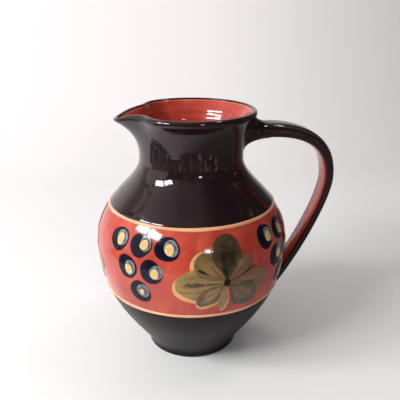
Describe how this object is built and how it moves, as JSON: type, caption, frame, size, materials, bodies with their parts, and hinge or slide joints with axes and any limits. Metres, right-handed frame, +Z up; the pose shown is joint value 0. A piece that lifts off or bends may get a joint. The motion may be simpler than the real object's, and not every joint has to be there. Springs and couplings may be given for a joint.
{
  "type": "ceramic jug",
  "caption": "Round bellied glazed jug with a pulled pouring lip, a looped strap handle, dark glazed neck and foot, and a coral band painted with grapes and a leaf.",
  "frame": {"origin": "centre of the flat underside, on the throwing axis, at the surface that the jug stands on", "axes": "+Z up along the throwing axis, +X towards the handle, -X towards the pouring lip, -Y to the left flank"},
  "size_m": [0.1894, 0.1512, 0.1951],
  "materials": {
    "coral_clay": "coral red body under clear gloss glaze",
    "dark_slip": "aubergine brown gloss glaze",
    "foot_slip": "charcoal satin glaze",
    "cream_slip": "cream trailed slip under clear glaze",
    "grape_slip": "navy painted slip under clear glaze",
    "leaf_slip": "olive brushed slip under clear glaze"
  },
  "bodies": {
    "root": {"thrown_body": "coral_clay", "strap_handle": "coral_clay", "upper_luting_coil": "dark_slip", "lower_luting_coil": "dark_slip", "handle_slip": "dark_slip", "neck_slip": "dark_slip", "foot_slip": "foot_slip", "upper_cream_line": "cream_slip", "lower_cream_line": "cream_slip", "left_front_grape_1": "grape_slip", "left_front_grape_2": "grape_slip", "left_front_grape_3": "grape_slip", "left_front_grape_4": "grape_slip", "left_front_grape_5": "grape_slip", "left_front_grape_6": "grape_slip", "left_back_grape_1": "grape_slip", "left_back_grape_2": "grape_slip", "left_back_grape_3": "grape_slip", "left_back_grape_4": "grape_slip", "left_back_grape_5": "grape_slip", "left_back_grape_6": "grape_slip", "right_front_grape_1": "grape_slip", "right_front_grape_2": "grape_slip", "right_front_grape_3": "grape_slip", "right_front_grape_4": "grape_slip", "right_front_grape_5": "grape_slip", "right_front_grape_6": "grape_slip", "right_back_grape_1": "grape_slip", "right_back_grape_2": "grape_slip", "right_back_grape_3": "grape_slip", "right_back_grape_4": "grape_slip", "right_back_grape_5": "grape_slip", "right_back_grape_6": "grape_slip", "left_leaf": "leaf_slip", "right_leaf": "leaf_slip", "spout_leaf": "leaf_slip"}
  },
  "joints": []
}
